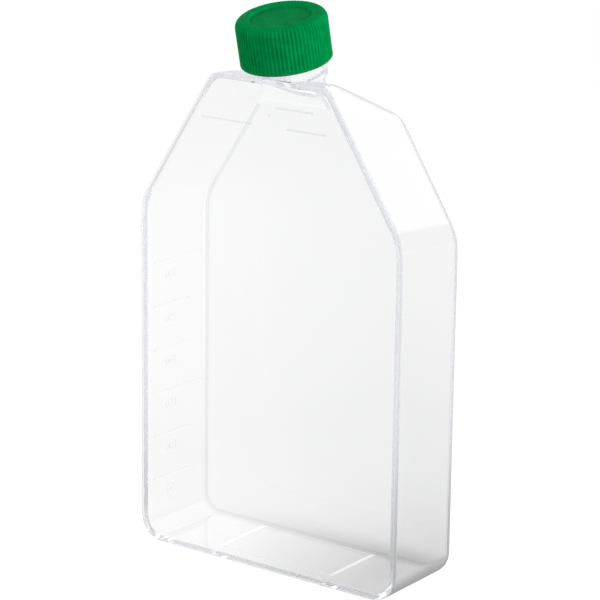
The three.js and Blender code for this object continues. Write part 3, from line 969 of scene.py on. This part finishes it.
def clear_plastic(name, finish, colour, glow=WALL_GLOW):
    """Clear polystyrene with a faint painted glow; light caught in the walls for long ends in a
    painted grey glow, which also paints shade on rims that turn away.
    """
    tree = new_material(name).node_tree
    strongest = solid(FLOW_TINT * level for level in colour)
    plastic = moulded(
        tree, lambda flow: blend(tree, flow, solid(colour), strongest),
        dict(flow_scale=22.0, flow_height=0.004, grain_scale=900.0, grain_height=0.0,
             roughness=0.0, roughness_spread=0.0),
        dict(scale=45.0, amount=0.02),
        {"Transmission Weight": 1, "IOR": POLYSTYRENE_IOR,
         "Emission Color": GLOW_COLOUR, "Emission Strength": glow})
    # Painted glow for light caught in the walls, with painted shade towards the base and the right
    x, _, z = apart(tree, object_place(tree))
    height = calc(tree, "MULTIPLY_ADD", x, PAINTED_GLOW_LEAN, z)
    painted_glow = new_node(tree, "ShaderNodeEmission", {"Color": solid(finish.painted_glow), "Strength": calc(
        tree, "MULTIPLY", remap(tree, height, *PAINTED_GLOW_FADE, finish.painted_glow_at_base, 1.0, "SMOOTHSTEP"),
        remap(tree, x, *PAINTED_GLOW_SIDES))}).outputs[0]
    path = new_node(tree, "ShaderNodeLightPath").outputs
    deep = calc(tree, "GREATER_THAN", path["Ray Depth"], finish.clear_bounces)
    caught = calc(tree, "MULTIPLY", deep, finish.painted_glow_share)
    # Painted shade: camera rays see the grey glow on rims that turn away
    facing = new_node(tree, "ShaderNodeLayerWeight", {"Blend": 0.5}).outputs["Facing"]
    rim = calc(tree, "MULTIPLY", path["Is Camera Ray"],
               remap(tree, facing, *RIM_TURN, 0.0, finish.rim_share))
    walls = mixed(tree, calc(tree, "MAXIMUM", caught, rim), plastic, painted_glow)
    show(tree, mixed(tree, path["Is Shadow Ray"], walls, see_through(tree, SHADOW_PASS)))


def see_through(tree, level=1.0):
    return new_node(tree, "ShaderNodeBsdfTransparent", {"Color": grey(level)}).outputs[0]


def weld_clear(name):
    """Where two clear pieces are welded, light goes straight through."""
    tree = new_material(name).node_tree
    show(tree, see_through(tree))


def green_plastic(name, finish):
    tree = new_material(name).node_tree
    ends = solid(finish.cap_colour), solid(finish.cap_shade)
    show(tree, moulded(
        tree, lambda flow: blend(tree, remap(tree, flow, *FLOW_RANGE), *ends),
        dict(flow_scale=260.0, flow_height=0.025, grain_scale=2600.0, grain_height=0.012,
             roughness=0.3, roughness_spread=0.1),
        dict(scale=120.0, amount=0.12),
        {"Specular IOR Level": GREEN_SPECULAR, "Specular Tint": GREEN_SPECULAR_TINT}))


def material_named(name):
    """A finish of this part, made on first use."""
    if name not in bpy.data.materials:
        finish = bpy.context.scene.flask_finish
        build, *values = {
            "polystyrene_clear": (clear_plastic, finish, finish.clear_colour),
            "polystyrene_bar": (clear_plastic, finish, finish.bar_and_edge_shade),
            "polystyrene_foot": (clear_plastic, finish, finish.clear_colour, finish.foot_glow),
            "weld_clear": (weld_clear,),
            "polyethylene_green": (green_plastic, finish)}[name]
        build(name, *values)
    return bpy.data.materials[name]


# ---- stage ----

# Where the room's levels change, as parts of the direction looked in
LOW_RIGHT_EDGE = (-0.2, 0.2)
OVERHEAD_EDGE = (0.28, 0.33)
# Directions over the floor, as the camera sees it
RIGHTWARDS = (0.804, 0.595, 0)
AWAY = (-0.595, 0.804, 0)
# Between these distances over the floor, in metres, a level changes
SIDE_SHADE = (-0.12, 0.05)
UNDER_LENGTH = (0.03, 0.075)
UNDER_DEPTH = (0.017, 0.04)
UNDER_RIGHT = (-0.02, 0.035)
CLEAR_OF_FLASK = (0.05, 0.15)
NEAR_FLOOR = (0.0, 0.5)
# The same for how much of a direction is forward or sideways
FORWARD = (0.0, 0.5)
SIDEWAYS = (0.55, 0.95)
# The shade beside the flask is divided by the distance away times the first, plus the second
SHADE_FADING = (9.5, 1.3)
SHADE_NEAREST = -0.02
LEAST_DISTANCE = 0.001
UNDER_LEAST = 0.03
LEAST_LEVEL = 0.2
NEAR_LEVEL = 0.85
FLOOR_HALF = 3.0
FLOOR_GAP = 0.2 * MM
FLOOR_CARD = 0.8
FLOOR_WHITE = 1.1
FLOOR_GLOW = 0.85
NEAREST_SEEN = 0.05
LAMP_TARGET = Vector((0, 0, 0.15))
# Place, size and power of each lamp
LAMPS = {"key": ((0.9, -0.4, 0.45), 0.4, 5.5), "right": ((0.8, 0.2, 0.4), 0.3, 6),
         "left": ((-0.62, -0.3, 0.35), 0.4, 5)}
BOUNCES = {"max_bounces": 64, "transmission_bounces": 64, "glossy_bounces": 64,
           "transparent_max_bounces": 40}


def is_ray(tree, *kinds):
    """1 for rays of the given kinds."""
    path = new_node(tree, "ShaderNodeLightPath").outputs
    found = path[f"Is {kinds[0]} Ray"]
    for kind in kinds[1:]:
        found = calc(tree, "MAXIMUM", found, path[f"Is {kind} Ray"])
    return found


def build_world(stage):
    """A white studio, with a plainer level for the light that falls on matt surfaces."""
    world = bpy.data.worlds.new("studio")
    bpy.context.scene.world = world
    world.use_nodes = True
    tree = world.node_tree
    tree.nodes.clear()
    x, _, z = apart(tree, new_node(tree, "ShaderNodeTexCoord").outputs["Generated"])
    low = remap(tree, x, *LOW_RIGHT_EDGE, 1.0, stage.low_right)
    overhead = remap(tree, z, *OVERHEAD_EDGE, low, stage.overhead)
    level = blend(tree, is_ray(tree, "Camera"), overhead, 1.0, "FLOAT")
    room = new_node(tree, "ShaderNodeBackground", {"Strength": stage.room_light}).outputs[0]
    seen = new_node(tree, "ShaderNodeBackground", {"Color": level}).outputs[0]
    show(tree, mixed(tree, is_ray(tree, "Camera", "Glossy", "Transmission"), room, seen),
         "ShaderNodeOutputWorld")


def floor_level(tree, stage):
    """The sweep as seen through the flask: white behind it, shade beside it, grey before it."""
    place = object_place(tree)
    x, y = (calc(tree, "ABSOLUTE", part) for part in apart(tree, place)[:2])

    def measured(operation, *others):
        vectors = dict(enumerate((place, *others)))
        return new_node(tree, "ShaderNodeVectorMath", vectors, operation=operation).outputs["Value"]

    def soft(value, ends, to_low=0.0, to_high=1.0):
        return remap(tree, value, *ends, to_low, to_high, "SMOOTHSTEP")

    right, away = (measured("DOT_PRODUCT", axis) for axis in (RIGHTWARDS, AWAY))
    distance = calc(tree, "MAXIMUM", measured("LENGTH"), LEAST_DISTANCE)
    side = remap(tree, right, *SIDE_SHADE, 0.0, stage.shade_beside)
    fading = calc(tree, "DIVIDE", 1.0, calc(
        tree, "MULTIPLY_ADD", calc(tree, "MAXIMUM", away, SHADE_NEAREST), *SHADE_FADING))
    under = calc(tree, "MULTIPLY", soft(x, UNDER_LENGTH, 1.0, 0.0), soft(y, UNDER_DEPTH, 1.0, 0.0))
    contact = calc(tree, "MULTIPLY", under,
                   remap(tree, right, *UNDER_RIGHT, UNDER_LEAST, stage.shade_under))
    shade = calc(tree, "MULTIPLY_ADD", side, fading, contact)
    behind = calc(tree, "MAXIMUM", calc(tree, "SUBTRACT", stage.white_behind, shade), LEAST_LEVEL)
    forward = soft(calc(tree, "DIVIDE", away, distance), FORWARD, 1.0, 0.0)
    sideways = soft(calc(tree, "ABSOLUTE", calc(tree, "DIVIDE", right, distance)), SIDEWAYS)
    before = blend(tree, sideways, solid(stage.grey_before), solid(stage.grey_beside))
    shaded = new_node(tree, "ShaderNodeVectorMath", operation="SCALE", sockets={
        0: before, "Scale": remap(tree, distance, *NEAR_FLOOR, NEAR_LEVEL, 1.0)})
    return blend(tree, calc(tree, "MULTIPLY", forward, soft(distance, CLEAR_OF_FLASK)),
                 behind, shaded.outputs[0])


def build_floor(stage):
    """A plain floor, seen white by the camera and as the graded sweep in clear surfaces."""
    mesh = bpy.data.meshes.new("floor")
    corners = [(x * FLOOR_HALF, y * FLOOR_HALF, 0) for x, y in ((-1, -1), (1, -1), (1, 1), (-1, 1))]
    mesh.from_pydata(corners, [], [(0, 1, 2, 3)])
    floor = add_object("floor", mesh)
    floor.location.z = -FLOOR_GAP
    material = new_material("floor_white")
    mesh.materials.append(material)
    tree = material.node_tree
    level = blend(tree, is_ray(tree, "Camera"), floor_level(tree, stage), grey(FLOOR_WHITE))
    card = new_node(tree, "ShaderNodeBsdfDiffuse", {"Color": grey(FLOOR_CARD)}).outputs[0]
    glow = new_node(tree, "ShaderNodeEmission", {"Color": level}).outputs[0]
    show(tree, mixed(tree, FLOOR_GLOW, card, glow))


def build_camera(stage):
    data = bpy.data.cameras.new("camera")
    data.lens = stage.lens
    data.clip_start = NEAREST_SEEN
    camera = add_object("camera", data)
    camera.location = stage.camera_place
    camera.rotation_euler = stage.camera_turn
    bpy.context.scene.camera = camera


def add_area(name, place, size, power):
    """A lamp aimed at the flask, which clear and glossy surfaces don't show."""
    data = bpy.data.lights.new(name, "AREA")
    data.size = size
    data.energy = power
    lamp = add_object(name, data)
    lamp.location = place
    lamp.rotation_euler = (LAMP_TARGET - Vector(place)).to_track_quat("-Z", "Y").to_euler()
    lamp.visible_glossy = False
    lamp.visible_transmission = False


# ---- operators ----

def hand_over(piece, node, body):
    """Shades a finished piece and lets it stand for its node."""
    shade(piece)
    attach(piece, body)
    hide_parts(node)


class FLASK_OT_tray(bpy.types.Operator):
    """Build the clear tray with its neck, thread, scale and numbers"""
    bl_idname = "flask.tray"
    bl_label = "Tray with Neck"

    def execute(self, context):
        scene = context.scene
        tray = build_tray(scene.flask_body, scene.flask_neck, scene.flask_marks)
        finish_clear(tray, scene.flask_body)
        hand_over(tray, "flask_tray", "flask")
        return {"FINISHED"}


class FLASK_OT_cover(bpy.types.Operator):
    """Build the cover plate with its writing bars"""
    bl_idname = "flask.cover"
    bl_label = "Cover Plate"

    def execute(self, context):
        scene = context.scene
        cover = build_cover(scene.flask_body, scene.flask_marks)
        finish_clear(cover, scene.flask_body)
        hand_over(cover, "cover_plate", "flask")
        return {"FINISHED"}


class FLASK_OT_cap(bpy.types.Operator):
    """Build the ribbed screw cap with its thread and plug ring"""
    bl_idname = "flask.cap"
    bl_label = "Screw Cap"

    def execute(self, context):
        scene = context.scene
        cap = build_cap(scene.flask_body, scene.flask_neck, scene.flask_cap)
        hand_over(cap, "screw_cap", "cap")
        return {"FINISHED"}


class FLASK_OT_stage(bpy.types.Operator):
    """Build the floor, the lights and the camera"""
    bl_idname = "flask.stage"
    bl_label = "Stage"

    def execute(self, context):
        scene = context.scene
        build_world(scene.flask_stage)
        build_floor(scene.flask_stage)
        build_camera(scene.flask_stage)
        for name, lamp in LAMPS.items():
            add_area(name, *lamp)
        scene.view_settings.view_transform = "Standard"
        for name, count in BOUNCES.items():
            setattr(scene.cycles, name, count)
        return {"FINISHED"}


class FLASK_PT_parts(bpy.types.Panel):
    """Lists the pieces of the flask and their sizes"""
    bl_idname = "FLASK_PT_parts"
    bl_label = "Cell Culture Flask"
    bl_space_type = "VIEW_3D"
    bl_region_type = "UI"
    bl_category = "Flask"

    def draw(self, context):
        layout = self.layout
        for operator, *groups in PIECES:
            box = layout.box()
            box.operator(operator)
            for group in groups:
                settings = getattr(context.scene, group)
                for name in settings.bl_rna.properties.keys():
                    if name not in {"rna_type", "name"}:
                        box.prop(settings, name)


PIECES = (("flask.tray", "flask_neck", "flask_marks"), ("flask.cover", "flask_body"),
          ("flask.cap", "flask_cap"), ("flask.stage", "flask_finish", "flask_stage"))
SETTINGS = {"flask_body": BodySettings, "flask_neck": NeckSettings, "flask_marks": MarkSettings,
            "flask_cap": CapSettings, "flask_finish": FinishSettings, "flask_stage": StageSettings}
CLASSES = (*SETTINGS.values(), FLASK_OT_tray, FLASK_OT_cover, FLASK_OT_cap, FLASK_OT_stage,
           FLASK_PT_parts)


def register():
    for item in CLASSES:
        bpy.utils.register_class(item)
    for name, settings in SETTINGS.items():
        setattr(bpy.types.Scene, name, PointerProperty(type=settings))


def unregister():
    for name in SETTINGS:
        delattr(bpy.types.Scene, name)
    for item in reversed(CLASSES):
        bpy.utils.unregister_class(item)


def main():
    register()
    bpy.ops.flask.tray()
    bpy.ops.flask.cover()
    bpy.ops.flask.cap()
    bpy.ops.flask.stage()


if __name__ == "__main__":
    main()
